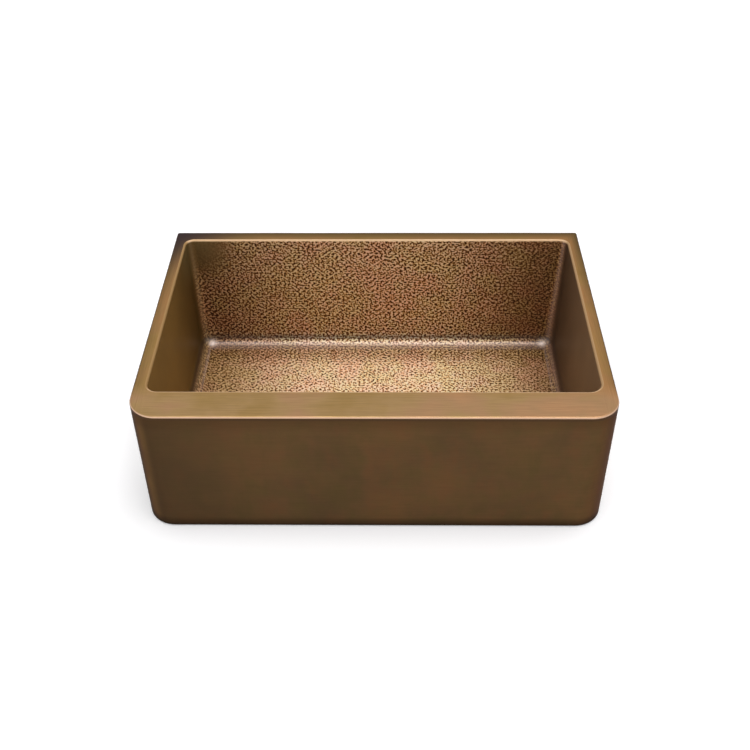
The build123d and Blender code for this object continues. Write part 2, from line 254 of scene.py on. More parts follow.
def rounded_paths(corners, radii, counts):
    """Points and outward normals of many paths at once, one per row, each turning left at its corners.
    Straight run: start plus t times the run. Arc: centre plus radius times the normal, which turns from the
    first run's outward side to the next one's."""
    corners = np.asarray(corners, float)
    radii = np.asarray(radii, float)[..., None]
    runs = np.diff(corners, axis=1)
    way = unit(runs)
    outward = np.stack([way[..., 1], -way[..., 0]], axis=2)
    angles = arc_angles()[None, 1:, None]
    points = [corners[:, :1] + way[:, :1] * radii[:, :1]]
    normals = [outward[:, :1]]
    for i, count in enumerate(counts):
        first = corners[:, i] + way[:, i] * radii[:, i]
        last = corners[:, i + 1] - way[:, i] * radii[:, i + 1]
        t = np.linspace(0, 1, count + 1)[None, 1:, None]
        points.append(first[:, None] + (last - first)[:, None] * t)
        normals.append(np.repeat(outward[:, i : i + 1], count, axis=1))
        if radii[:, i + 1].max() > 0:
            bend = outward[:, i, None] * np.cos(angles) + way[:, i, None] * np.sin(angles)
            centre = last - outward[:, i] * radii[:, i + 1]
            points.append(centre[:, None] + bend * radii[:, i + 1, None])
            normals.append(bend)
    return np.concatenate(points, axis=1), np.concatenate(normals, axis=1)


def ring_paths(left, right, front, back, radii, counts):
    """Rounded rectangles seen from above, anticlockwise from the middle of the front and back to it.
    Sides and radii are numbers or one value per row; radii are in the order front left, front right, back
    right, back left, and counts are steps per half front, per side before Y = 0 and per side behind it."""
    zero, left, right, front, back, fl, fr, br, bl = np.broadcast_arrays(0.0, left, right, front, back, *radii)
    xs = np.stack([zero, right, right, right, zero, left, left, left, zero], axis=1)
    ys = np.stack([front, front, zero, back, back, back, zero, front, front], axis=1)
    turns = np.stack([zero, fr, zero, br, zero, bl, zero, fl, zero], axis=1)
    half, ahead, behind = counts
    runs = [half, ahead, behind, half, half, behind, ahead, half]
    return rounded_paths(np.stack([xs, ys], axis=2), turns, runs)


def lift(plan, height):
    """Adds a height to plan points or normals: (rows, n, 2) and one height per row make (rows, n, 3)."""
    heights = np.broadcast_to(np.reshape(height, (-1, 1)), plan.shape[:2])
    return np.concatenate([plan, heights[..., None]], axis=2)


# %% [markdown]
# ## From a grid to a sheet with a thickness
# A single surface is not a sheet of metal. The fine face gets a much coarser one behind it, one sheet
# thickness away, and a strip of triangles closes the edge all round. That saves many triangles that nobody
# would see, and the piece is still a closed solid.

# %% Sheets
def thin_out(count, every):
    """Every few of the numbers 0 to count - 1, with both ends kept."""
    return np.unique(np.append(np.arange(0, count - 1, every), count - 1))


def edge_strip(fine, coarse, where):
    """Triangles between a fine edge and a coarse one; where says which fine point each coarse point faces.
    A fine step goes to the nearer coarse point, and a coarse step to the fine point halfway."""
    step = np.arange(len(fine) - 1)
    segment = np.clip(np.searchsorted(where, step, side="right") - 1, 0, len(where) - 2)
    middle = (where[:-1] + where[1:] + 1) // 2
    nearer = segment + (step >= middle[segment])
    small = np.column_stack([fine[step + 1], fine[step], coarse[nearer]])
    large = np.column_stack([coarse[:-1], coarse[1:], fine[middle]])
    return np.concatenate([small, large])


def mesh_of(name, points, faces):
    """Mesh from points and a list of face arrays, each with a row of corner numbers per face."""
    corners = np.concatenate([part.ravel() for part in faces]).astype(np.int32)
    sizes = np.concatenate([np.full(len(part), part.shape[1]) for part in faces])
    starts = np.concatenate([[0], np.cumsum(sizes)[:-1]]).astype(np.int32)
    mesh = bpy.data.meshes.new(name)
    mesh.vertices.add(len(points))
    mesh.loops.add(len(corners))
    mesh.polygons.add(len(sizes))
    mesh.vertices.foreach_set("co", np.asarray(points, np.float32).ravel())
    mesh.loops.foreach_set("vertex_index", corners)
    mesh.polygons.foreach_set("loop_start", starts)
    mesh.update(calc_edges=True)
    return mesh


def grid_quads(numbers):
    """Four corner numbers for each cell of a grid of point numbers."""
    cells = [numbers[:-1, :-1], numbers[:-1, 1:], numbers[1:, 1:], numbers[1:, :-1]]
    return np.stack([cell.ravel() for cell in cells], axis=1)


def sheet(name, face, normals, back, body="sink", every=8, closed=False, marks=None):
    """Closed sheet from a fine grid (rows, columns, 3), its normals and the grid of its back face, which keeps
    every few points. A closed sheet's last column is its first one again, so it has no side edges."""
    rows, columns = face.shape[:2]
    numbers = np.arange(rows * columns).reshape(rows, columns)
    keep_rows, keep_columns = thin_out(rows, every), thin_out(columns, every)
    behind = back[np.ix_(keep_rows, keep_columns)]
    low = np.arange(behind[..., 0].size).reshape(behind.shape[:2]) + numbers.size
    if closed:
        numbers[:, -1] = numbers[:, 0]
        low[:, -1] = low[:, 0]
    edges = [
        edge_strip(numbers[0], low[0], keep_columns),
        edge_strip(numbers[:, -1], low[:, -1], keep_rows),
        edge_strip(numbers[-1], low[-1], keep_columns)[:, ::-1],
        edge_strip(numbers[:, 0], low[:, 0], keep_rows)[:, ::-1],
    ]
    quads = grid_quads(numbers)
    faces = [quads, grid_quads(low)[:, ::-1], *edges[:: 2 if closed else 1]]
    points = np.concatenate([face.reshape(-1, 3), behind.reshape(-1, 3)])
    middle = (rows // 2, columns // 2)
    cell = points[quads[middle[0] * (columns - 1) + middle[1]]]
    if np.dot(np.cross(cell[1] - cell[0], cell[3] - cell[0]), normals[middle]) < 0:
        faces = [part[:, ::-1] for part in faces]
    kept, packed = np.unique(np.concatenate([part.ravel() for part in faces]), return_inverse=True)
    ends = np.cumsum([part.size for part in faces])[:-1]
    faces = [part.reshape(old.shape) for part, old in zip(np.split(packed, ends), faces)]
    mesh = mesh_of(name, points[kept], faces)
    smooth = np.arange(len(mesh.polygons)) < len(quads) + len(faces[1])
    mesh.polygons.foreach_set("use_smooth", smooth)
    fine = kept < numbers.size
    aims = np.zeros((len(kept), 3))
    aims[fine] = normals.reshape(-1, 3)[kept[fine]]
    split = aims[packed]
    split[quads.size :] = 0.0
    mesh.normals_split_custom_set(split.tolist())
    for label, values in (marks or {}).items():
        full = np.zeros(len(kept), np.float32)
        full[fine] = values.ravel()[kept[fine]]
        mesh.attributes.new(label, "FLOAT", "POINT").data.foreach_set("value", full)
    piece = add_object(name, mesh)
    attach(piece, body)
    print(f"{name}: {len(kept)} points, {sum(len(p) * (p.shape[1] - 2) for p in faces)} triangles")
    return piece


# %% [markdown]
# ## Waves for hammer marks and for hand-finished sheet
# Many waves in random directions, all of nearly one length, add up to a random pattern of blobs and worms of
# one size. That is what close hammering looks like, and its slope is known exactly, so the shading is exact
# too. Long waves of the same kind make the faint unevenness of hand-finished sheet. The long ones are waves in
# space; the hammer marks are waves on the unrolled sheet, so no surface cuts them at a slant.

# %% Wave fields
class Waves:
    """Plane waves: height = sum of cos(k.p + phase), scaled to mean square one; slope = the same of -k sin."""

    def __init__(self, seed, count, shortest_mm, longest_mm, axes=3):
        draw = np.random.default_rng(seed)
        aims = unit(draw.normal(size=(count, axes)))
        sizes = draw.uniform(1 / longest_mm, 1 / shortest_mm, count) / MM
        self.numbers = aims * (2 * np.pi * sizes)[:, None]
        self.phases = draw.uniform(0, 2 * np.pi, count)

    def at(self, points):
        """Height and slope at an array of points."""
        height = np.zeros(points.shape[:-1])
        slope = np.zeros(points.shape)
        for number, phase in zip(self.numbers, self.phases):
            angle = points @ number + phase
            height += np.cos(angle)
            slope -= np.sin(angle)[..., None] * number
        share = np.sqrt(2.0 / len(self.phases))
        return height * share, slope * share


def smooth_step(value, low, high):
    """0 below low, 1 above high, and an S curve between."""
    t = np.clip((value - low) / (high - low), 0.0, 1.0)
    return t * t * (3 - 2 * t)


def tilt(normals, slope, amount):
    """Normals of a surface that was moved along them: normal minus the slope's part along the surface."""
    across = slope - (slope * normals).sum(-1, keepdims=True) * normals
    return unit(normals - across * np.asarray(amount)[..., None])


HAND_WAVES = Waves(seed=11, count=14, shortest_mm=110, longest_mm=320)
HAND_WAVE_DEPTH = 0.14 * MM


def hand_finish(points, normals):
    """Sheet with faint dips: point minus depth times (1 + wave) / 2, so it stays in the measured form."""
    height, slope = HAND_WAVES.at(points)
    dip = HAND_WAVE_DEPTH / 2
    moved = points - normals * (dip * (1 + np.clip(height, -1, 1)))[..., None]
    return moved, tilt(normals, slope, -dip * (np.abs(height) < 1))


# %% [markdown]
# ## Sizes
# The outside comes from the measured model. What the model rounds or presses, such as the rolled edges and
# the fillet round the floor, is repeated here by name, so that the surfaces can follow it.

# %% Sizes from the model and by name
low, high = [np.array(corner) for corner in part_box("rim_deck")]
LEFT, FRONT, LIP_LOW = low
RIGHT, BACK, TOP = high
SHEET = 1.6 * MM
EDGE_ROLL = 4.5 * MM
FRONT_CORNER = 52 * MM
BACK_CORNER = 5 * MM
basin_low, basin_high = [np.array(corner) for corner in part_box("hammered_basin")]
OPEN_LEFT, OPEN_FRONT = basin_low[:2] + SHEET
OPEN_RIGHT, OPEN_BACK = basin_high[:2] - SHEET
OPEN_RADII = (20 * MM, 24 * MM, 16 * MM, 16 * MM)
FRONT_DRAFT, SIDE_DRAFT, BACK_DRAFT = 8 * MM, 6 * MM, 12.5 * MM
FLOOR_TOP = 16 * MM
FLOOR_RADIUS = 31 * MM
FLOOR_FILLET = 25 * MM
INNER_CORNER = 4.5 * MM
DISH_DEPTH, DISH_FROM, DISH_TO = 2.5 * MM, 65 * MM, 58.5 * MM
DRAIN_HOLE = 44.5 * MM
print("outside", rounded([LEFT, RIGHT, FRONT, BACK, TOP]))
print("opening", rounded([OPEN_LEFT, OPEN_RIGHT, OPEN_FRONT, OPEN_BACK]))

# %% [markdown]
# ## The hammered bowl
# One sheet, beaten over its floor, its front and its back, and left almost smooth at the sides. Its walls
# lean outwards a little and meet the floor in a wide fillet. The walls with the fillet are one grid that runs
# round the bowl; the floor is a second one whose outer points are the fillet's last ones, so the two join
# without a gap. Both are cut into pieces small enough to keep every point.

# %% Bowl: layout of the grid
PITCH_MM = 1.2
WALL_HEIGHT = LIP_LOW - FLOOR_TOP


def steps_for(length):
    """Number of grid steps along a length."""
    return int(round(length / (PITCH_MM * MM)))


def wall_rows():
    """Sides, radii, height and steepness of each row of the walls, from the rim down and round the fillet.
    Wall: straight between the opening and the floor's outline. Fillet: centre plus radius times (cos, sin)."""
    drafts = np.array([-SIDE_DRAFT, SIDE_DRAFT, -FRONT_DRAFT, BACK_DRAFT])
    lean = np.arctan(np.abs(drafts) / WALL_HEIGHT).mean()
    contact = FLOOR_TOP + FLOOR_FILLET * (1 - np.sin(lean))
    wall_z = np.linspace(LIP_LOW, contact, steps_for(LIP_LOW - contact) + 1)
    share = (LIP_LOW - wall_z) / WALL_HEIGHT
    openings = np.array([OPEN_LEFT, OPEN_RIGHT, OPEN_FRONT, OPEN_BACK])
    wall_sides = openings - drafts * share[:, None]
    top_radii = np.array(OPEN_RADII)
    wall_radii = top_radii + (FLOOR_RADIUS - top_radii) * share[:, None]
    phi = np.linspace(lean, np.pi / 2, steps_for(FLOOR_FILLET * np.pi / 2) + 1)[1:]
    reach = FLOOR_FILLET * (np.cos(lean) - np.cos(phi))
    fillet_sides = wall_sides[-1] - np.sign(drafts) * reach[:, None]
    blend = (np.cos(phi) / np.cos(lean))[:, None]
    fillet_radii = INNER_CORNER + (wall_radii[-1] - INNER_CORNER) * blend
    fillet_z = FLOOR_TOP + FLOOR_FILLET * (1 - np.sin(phi))
    walls = (wall_sides, wall_radii, wall_z, np.full(len(wall_z), lean))
    fillets = (fillet_sides, fillet_radii, fillet_z, phi)
    return [np.concatenate(pair) for pair in zip(walls, fillets)]


sides, radii, heights, steep = wall_rows()
flat_left, flat_right, flat_front, flat_back = sides[-1]
bowl_counts = [steps_for(reach - INNER_CORNER) for reach in (flat_right, -flat_front, flat_back)]
HALF_STEPS, AHEAD_STEPS, BEHIND_STEPS = bowl_counts
print("flat floor", rounded(sides[-1]), "rows", len(heights), "steps", bowl_counts)

# %% Bowl: hammer marks
HAMMER = Waves(seed=5, count=120, shortest_mm=4.2, longest_mm=11.5, axes=2)
HAMMER_DEPTH = 0.52 * MM
HAMMER_SHARPNESS = 1.1
RIDGE_SHARE, FLOOR_SHARE = 0.08, 0.38
# Ranges of the normal's upward part, which is 0 on a wall and 1 on the floor.
OFF_WALL, TO_FLOOR, ON_FLOOR = (0.1, 0.7), (0.7, 1.0), (0.94, 0.999)
BEND_FROM, BEND_TO = (0.74, 0.96), (0.992, 1.0)
# Ranges of the normal's sideways part, which is 1 on the side walls.
FADES_TO_SIDE, ON_SIDE = (0.5, 0.95), (0.66, 0.94)
# Middle and width of a soft band, in the sideways part and in the upward part: the painted reflection on the
# upright corners and the painted shade in the crease above the rear fillet.
CORNER_REFLECTION_BAND, CREASE_SHADE_BAND = (0.6, 0.2), (0.54, 0.23)
# Ranges in metres.
RUBBED = (80 * MM, 410 * MM)
NEAR_WALL = (150 * MM, 198 * MM)
FAINT = (180 * MM, 340 * MM)
BEHIND = (0.0, 150 * MM)
OVER_ROLL = (LIP_LOW - 1 * MM, TOP - 2.5 * MM)
ROUND_DRAIN = (DISH_FROM, DISH_FROM + 7 * MM)
PAST_END = (flat_right - 1 * MM, flat_right + 13 * MM)
BEFORE_BEND = (flat_back - 13 * MM, flat_back - 1 * MM)
# Shares of the relief that are missing, and of the rubbing.
LESS_AT_SIDE, LESS_IN_QUIET, LESS_ON_FLOOR, LESS_AT_RIGHT, LESS_IN_BEND = 0.94, 0.9, 0.25, 0.4, 0.7
# Share of painted shade on the floor near the back wall, and how much less the walls are rubbed.
SHADE_NEAR_WALL, RUBBED_LESS_ON_WALL = 0.5, 0.35
REACHES_LEFT, REACHES_RIGHT = 0.17, 0.04
# Share of the painted fillet highlight that reaches onto the floor.
FILLET_HIGHLIGHT_ON_FLOOR = 0.6
QUIET_CORNER, QUIET_REACH = np.array([-380, 246, 262]) * MM, 74 * MM
# Centre and reach of the painted highlight at each end of the rear fillet.
KNOT_HIGHLIGHT_AT, KNOT_HIGHLIGHT_REACH = np.array([364, 229, 19]) * MM, 8.5 * MM


def bell(distance, width, power=2):
    """1 in the middle and about a third one width away: exp(-(distance / width) ^ power)."""
    return np.exp(-((distance / width) ** power))


def hammered(points, normals, unrolled, across, sideways):
    """Beaten surface. Ridge = (1 + tanh(sharpness (wave + share))) / 2, and each point sinks by depth times
    strength times (1 - ridge). The wave is taken on the unrolled sheet; its slope there is carried back along
    the row and at a right angle to it. The strength is less on the side walls, in one quiet corner, towards
    both ends, over the rim's roll, in the rear fillet and round the drain.
    The marks say where rubbing lightened the patina and where light and shade are painted: the rubbing mark is
    full in the middle of the floor and is cut down near the back wall as painted shade; the crease mark is
    painted shade on the upper part of the rear fillet, bend a painted highlight on its lower part, knot a
    painted highlight at each end of it, and corner a painted reflection on the upright corners behind."""
    x, y, z = np.moveaxis(points, -1, 0)
    out, upward = np.abs(x), normals[..., 2]
    upright = 1 - smooth_step(upward, *OFF_WALL)
    near_wall = smooth_step(y, *NEAR_WALL) * smooth_step(upward, *ON_FLOOR)
    wave, flat_slope = HAMMER.at(unrolled)
    share = RIDGE_SHARE + FLOOR_SHARE * smooth_step(upward, *TO_FLOOR) * (1 - near_wall)
    curve = np.tanh(HAMMER_SHARPNESS * (wave + share))
    ridge = (1 + curve) / 2
    rising = smooth_step(upward, *BEND_FROM) * smooth_step(y, *BEHIND) * (1 - smooth_step(out, *PAST_END))
    curved = rising * (1 - smooth_step(upward, *BEND_TO))
    bend = np.maximum(curved, rising * (FILLET_HIGHLIGHT_ON_FLOOR * smooth_step(y, *BEFORE_BEND)))
    quiet = bell(np.linalg.norm(points - QUIET_CORNER, axis=-1), QUIET_REACH, 4)
    beaten = (1 - LESS_AT_SIDE * smooth_step(sideways, *FADES_TO_SIDE)) * (1 - LESS_IN_QUIET * quiet)
    beaten *= 1 - LESS_ON_FLOOR * (1 - upright) * smooth_step(out, *FAINT)
    beaten *= 1 - LESS_AT_RIGHT * upright * smooth_step(x, *FAINT)
    strength = beaten * (1 - smooth_step(z, *OVER_ROLL)) * (1 - LESS_IN_BEND * curved)
    strength *= smooth_step(np.hypot(x, y), *ROUND_DRAIN)
    sink = HAMMER_DEPTH * strength * (1 - ridge)
    steepness = HAMMER_DEPTH * strength * HAMMER_SHARPNESS * (1 - curve**2) / 2
    slope = flat_slope[..., :1] * across + flat_slope[..., 1:] * np.cross(normals, across)
    moved = points - normals * sink[..., None]
    from_middle = out * (1 - np.where(x < 0, REACHES_LEFT * upright, REACHES_RIGHT * (1 - upright)))
    # Lighter in the middle from rubbing; near the back wall the floor is darkened as painted shade.
    rubbed_and_shaded = (1 - smooth_step(from_middle, *RUBBED)) * (1 - SHADE_NEAR_WALL * near_wall)
    from_knot = np.linalg.norm(np.stack([out, y, z], axis=-1) - KNOT_HIGHLIGHT_AT, axis=-1)
    marks = {
        "ridge": 0.5 + (ridge - 0.5) * beaten,
        "beaten": beaten,
        "quiet": quiet,
        "rubbed_and_shaded": rubbed_and_shaded * (1 - RUBBED_LESS_ON_WALL * upright),
        "side": smooth_step(sideways, *ON_SIDE),
        # Painted reflection on the upright corners behind.
        "corner": bell(sideways - CORNER_REFLECTION_BAND[0], CORNER_REFLECTION_BAND[1]) * (y > 0),
        # Painted highlight along the lower part of the rear fillet.
        "bend": bend,
        # Painted highlight at each end of the rear fillet.
        "painted_knot_highlight": bell(from_knot, KNOT_HIGHLIGHT_REACH),
        # Painted shade in the crease above the rear fillet.
        "painted_crease_shade": bell(upward - CREASE_SHADE_BAND[0], CREASE_SHADE_BAND[1]) * (y > 0) * (z < LIP_LOW / 2),
    }
    return moved, tilt(normals, slope, steepness), marks


def bowl_piece(name, points, normals, unrolled, across, closed=False):
    """One piece of the bowl: beaten face, smooth back one sheet thickness behind it."""
    face, aims, marks = hammered(points, normals, unrolled, across, np.abs(normals[..., 0]))
    piece = sheet(name, face, aims, points - normals * SHEET, closed=closed, marks=marks)
    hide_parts("hammered_basin")
    return piece


# %% Bowl: walls and fillet in six pieces
wall_plan, wall_out = ring_paths(*sides.T, radii.T, bowl_counts)
wall_points = lift(wall_plan, heights)
wall_normals = lift(-wall_out * np.cos(steep)[:, None, None], np.sin(steep))
step_along = np.linalg.norm(np.diff(wall_plan, axis=1), axis=2)
travelled = np.concatenate([np.zeros((len(heights), 1)), np.cumsum(step_along, axis=1)], axis=1)
step_down = np.hypot(np.diff(heights), np.diff(sides[:, 3]))
climbed = np.append(np.cumsum(step_down[::-1])[::-1], 0.0)[:, None]
quarter = HALF_STEPS + ARC_STEPS
side_steps = AHEAD_STEPS + BEHIND_STEPS
turns = np.cumsum([quarter + AHEAD_STEPS, quarter + BEHIND_STEPS, quarter + BEHIND_STEPS])
columns = np.arange(wall_points.shape[1])
in_front = (columns <= turns[0]) | (columns > turns[2])
along_front = np.where(columns <= turns[0], travelled, travelled - travelled[:, -1:])
along_back = travelled[:, turns[1], None] - travelled
unrolled_x = np.where(in_front, along_front, along_back)
unrolled_y = np.where(in_front, flat_front - climbed, flat_back + climbed)
wall_unrolled = np.stack([unrolled_x, unrolled_y], axis=2)


def row_direction(outward):
    """Level direction along the rows: outward turned left, and turned round again behind."""
    turned = lift(np.stack([-outward[..., 1], outward[..., 0]], axis=2), 0.0)
    turned[:, ~in_front] *= -1
    return turned


wall_along = row_direction(wall_out)
cuts = np.cumsum([0, quarter, side_steps, quarter, quarter, side_steps, quarter])
bowl = []
for i, side in enumerate(("front_right", "right", "back_right", "back_left", "left", "front_left")):
    part = (slice(None), slice(cuts[i], cuts[i + 1] + 1))
    grids = [grid[part] for grid in (wall_points, wall_normals, wall_unrolled, wall_along)]
    bowl.append(bowl_piece(f"bowl_{side}", *grids))

# %% [markdown]
# ## The floor of the bowl
# A plain lattice, except in two places. In each corner a small square block is bent into a quarter disc, with
# x = a sqrt(1 - b b / 2) and y = b sqrt(1 - a a / 2). Round the drain the lattice stops at a square, and
# rings run from that square to the round hole, down the shallow dish that seats the strainer.

# %% Bowl: lattice of the floor
BLOCK = ARC_STEPS // 2
SEAT_HALF = 82 * MM


def lattice_line(low_end, high_end, low_steps, high_steps):
    """Positions along one direction, fine at both rounded ends and even between, with one at zero."""
    stops = [low_end, low_end + INNER_CORNER, 0.0, high_end - INNER_CORNER, high_end]
    steps = [BLOCK, low_steps, high_steps, BLOCK]
    runs = [np.linspace(*ends, endpoint=False) for ends in zip(stops, stops[1:], steps)]
    return np.append(np.concatenate(runs), high_end)


def floor_lattice():
    """Floor points in plan, with the four corner blocks bent to quarter discs."""
    xs = lattice_line(flat_left, flat_right, HALF_STEPS, HALF_STEPS)
    ys = lattice_line(flat_front, flat_back, AHEAD_STEPS, BEHIND_STEPS)
    x, y = np.meshgrid(xs, ys)
    centre_x, centre_y = flat_right - INNER_CORNER, flat_back - INNER_CORNER
    over_x = np.where(x > 0, x - centre_x, flat_left + INNER_CORNER - x)
    over_y = np.where(y > 0, y - centre_y, flat_front + INNER_CORNER - y)
    a, b = [np.clip(over / INNER_CORNER, 0, 1) for over in (over_x, over_y)]
    x = x - np.sign(x) * INNER_CORNER * (a - a * np.sqrt(1 - b**2 / 2))
    y = y - np.sign(y) * INNER_CORNER * (b - b * np.sqrt(1 - a**2 / 2))
    return np.stack([x, y], axis=2), xs, ys


def on_the_floor(plan):
    """Floor points, normals, unrolled points (the plan itself) and the direction across. It is level, with a
    dish whose depth is an S curve of the radius."""
    radius = np.hypot(plan[..., 0], plan[..., 1])
    t = np.clip((DISH_FROM - radius) / (DISH_FROM - DISH_TO), 0, 1)
    z = FLOOR_TOP - DISH_DEPTH * t * t * (3 - 2 * t)
    fall = DISH_DEPTH * 6 * t * (1 - t) / (DISH_FROM - DISH_TO)
    inward = -plan * (fall / np.maximum(radius, MM))[..., None]
    normals = unit(np.concatenate([inward, np.ones_like(z)[..., None]], axis=2))
    across = np.zeros_like(normals)
    across[..., 0] = 1.0
    return np.concatenate([plan, z[..., None]], axis=2), normals, plan, across


lattice, lattice_x, lattice_y = floor_lattice()
seat_left, seat_right, seat_front, seat_back = [
    int(np.abs(line - side).argmin()) for line in (lattice_x, lattice_y) for side in (-SEAT_HALF, SEAT_HALF)
]
blocks = {
    "bowl_floor_left": (slice(None), slice(None, seat_left + 1)),
    "bowl_floor_right": (slice(None), slice(seat_right, None)),
    "bowl_floor_front": (slice(None, seat_front + 1), slice(seat_left, seat_right + 1)),
    "bowl_floor_back": (slice(seat_back, None), slice(seat_left, seat_right + 1)),
}
for name, block in blocks.items():
    bowl.append(bowl_piece(name, *on_the_floor(lattice[block])))

# %% Bowl: rings round the drain
SEAT_RINGS = 34


def seat_rings():
    """Rings from the lattice's square to the hole: square point plus share times the way to the circle."""
    inner = lattice[seat_front : seat_back + 1, seat_left : seat_right + 1]
    square = np.concatenate([inner[0, :-1], inner[:-1, -1], inner[-1, :0:-1], inner[::-1, 0]])
    circle = unit(square) * DRAIN_HOLE
    share = np.linspace(0, 1, SEAT_RINGS + 1)[:, None, None]
    return square + (circle - square) * share


bowl.append(bowl_piece("bowl_drain_seat", *on_the_floor(seat_rings()), closed=True))

# %% [markdown]
# ## The rim
# A flat band with both edges rolled over, wide in front and narrow elsewhere. The flat part with the outer
# roll is one surface. The inner roll and the short lip under it are a second one with the walls' own columns,
# so that the hammer marks run up over the seam and fade out on the roll, as on the real sheet.

# %% Rim: flat part and outer roll
RIM_COUNTS = (110, 52, 62)
ROLL_STEPS = 12
RIM_FLAT_STEPS = 22
OUTER_RADII = (FRONT_CORNER, FRONT_CORNER, BACK_CORNER, BACK_CORNER)
LEAST_RADIUS = 0.1 * MM


def opening_path(wider, counts):
    """Outline of the opening, made wider by each value, one row per value."""
    radii = [radius + wider for radius in OPEN_RADII]
    sides = (OPEN_LEFT - wider, OPEN_RIGHT + wider, OPEN_FRONT - wider, OPEN_BACK + wider)
    return ring_paths(*sides, radii, counts)


def outside_path(smaller, counts):
    """Outline of the sink, drawn in by each value, one row per value."""
    radii = [np.maximum(radius - smaller, LEAST_RADIUS) for radius in OUTER_RADII]
    return ring_paths(LEFT + smaller, RIGHT - smaller, FRONT + smaller, BACK - smaller, radii, counts)


def rolled_edge(inset, turn):
    """Way in and height round a rolled edge: radius times (1 - cos) inwards and radius times sin upwards."""
    roll = EDGE_ROLL - inset
    return roll * (1 - np.cos(turn)), TOP - EDGE_ROLL + roll * np.sin(turn)


def rim_grid(inset=0.0):
    """Points, normals and place across the rim, drawn in by the inset."""
    turn = np.append(np.linspace(np.pi / 2, 0, ROLL_STEPS + 1), 0.0)
    shift, rise = rolled_edge(inset, turn)
    rise[-1] = LIP_LOW
    plan_in, _ = opening_path(np.array([EDGE_ROLL]), RIM_COUNTS)
    plan_out, out_out = outside_path(inset + shift, RIM_COUNTS)
    share = np.linspace(0, 1, RIM_FLAT_STEPS + 1)[:-1, None, None]
    flat = lift(plan_in, [TOP - inset]) * (1 - share) + lift(plan_out[:1], [TOP - inset]) * share
    upward = np.zeros_like(flat)
    upward[..., 2] = 1.0
    outside = lift(out_out * np.cos(turn)[:, None, None], np.sin(turn))
    place_across = np.concatenate([share[:, 0, 0], 2 - np.sin(turn)])
    points = np.concatenate([flat, lift(plan_out, rise)])
    across = np.repeat(place_across[:, None], points.shape[1], axis=1)
    return points, np.concatenate([upward, outside]), across


rim_points, rim_normals, rim_across = rim_grid()
rim_face, rim_aims = hand_finish(rim_points, rim_normals)
rim_back, rim_marks = rim_grid(SHEET)[0], {"across": rim_across}
rim = sheet("rim_surface", rim_face, rim_aims, rim_back, every=4, closed=True, marks=rim_marks)
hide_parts("rim_deck")

# %% Rim: inner roll and lip
LIP_STEPS = 3
LIP_ROLL_STEPS = 10


def lip_grid(inset=0.0):
    """Points, normals, unrolled points, row direction and sideways part of the way outwards, from the bowl's
    edge up the lip and over the roll."""
    turn = np.append(np.zeros(LIP_STEPS), np.linspace(0, np.pi / 2, LIP_ROLL_STEPS + 1))
    shift, rise = rolled_edge(inset, turn)
    rise[:LIP_STEPS] = np.linspace(LIP_LOW, TOP - EDGE_ROLL, LIP_STEPS, endpoint=False)
    plan, outward = opening_path(inset + shift, bowl_counts)
    points = lift(plan, rise)
    normals = lift(-outward * np.cos(turn)[:, None, None], np.sin(turn))
    gone_up = np.append(0.0, np.cumsum(np.hypot(np.diff(shift), np.diff(rise))))[:, None]
    away = np.where(in_front, -gone_up, gone_up)
    unrolled = np.stack([wall_unrolled[0, :, 0] + 0 * away, wall_unrolled[0, :, 1] + away], axis=2)
    return points, normals, unrolled, row_direction(outward), np.abs(outward[..., 0])


lip_points, lip_normals, *lip_rest = lip_grid()
lip_face, lip_aims, lip_marks = hammered(lip_points, lip_normals, *lip_rest)
lip_height = smooth_step(lip_points[..., 2], TOP - EDGE_ROLL, TOP)
finished, _ = hand_finish(lip_points, lip_normals)
lip_face = lip_face + (finished - lip_points) * lip_height[..., None]
lip_marks["rise"] = lip_height
rim_lip = sheet("rim_lip", lip_face, lip_aims, lip_grid(SHEET)[0], closed=True, marks=lip_marks)
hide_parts("rim_deck")

# %% [markdown]
# ## Apron and back
# The apron is one sheet bent round both front corners; the back is another, with a short return at each end.
# Both are a path carried straight up. Their height and seams come from the measured pieces.

# %% Apron and back panel
SKIN_ROWS = 64
WIDE_STEPS, SIDE_STEPS, RETURN_STEPS = 180, 90, 4
apron_low, apron_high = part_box("apron_wrap")
SEAM_Y = apron_high[1]


def skin(name, corners, radius, end_steps, node_name):
    """Upright sheet: the path's points at every height between the pan and the rim, normals straight out.
    The back of the sheet is the same path one sheet further in."""
    inner = [(x - np.sign(x) * SHEET, y - np.sign(y) * SHEET * (abs(y) > SEAM_Y)) for x, y in corners]
    height = np.linspace(apron_low[2], apron_high[2], SKIN_ROWS + 1)
    counts = [end_steps, WIDE_STEPS, end_steps]
    plan, outward = rounded_paths([corners], [[0.0, radius, radius, 0.0]], counts)
    back_plan, _ = rounded_paths([inner], [[0.0, radius - SHEET, radius - SHEET, 0.0]], counts)
    level = np.zeros(len(height))
    points, normals, behind = [
        lift(np.repeat(flat, len(height), axis=0), z)
        for flat, z in ((plan, height), (outward, level), (back_plan, height))
    ]
    face, aims = hand_finish(points, normals)
    piece = sheet(name, face, aims, behind, every=4)
    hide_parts(node_name)
    return piece


front_corners = [(LEFT, SEAM_Y), (LEFT, FRONT), (RIGHT, FRONT), (RIGHT, SEAM_Y)]
apron = skin("apron_surface", front_corners, FRONT_CORNER, SIDE_STEPS, "apron_wrap")
back_corners = [(RIGHT, SEAM_Y), (RIGHT, BACK), (LEFT, BACK), (LEFT, SEAM_Y)]
back_skin = skin("back_surface", back_corners, BACK_CORNER, RETURN_STEPS, "back_panel")

# %% [markdown]
# ## The strainer's threads
# The strainer is turned, so it is a profile carried round the drain's axis. Its cup and its neck are threaded
# for the locknut and the coupling nut. A thread is a groove that winds down as it goes round, so its phase is
# the height in pitches plus the share of a turn; the groove is cut inwards and runs out softly at both ends.

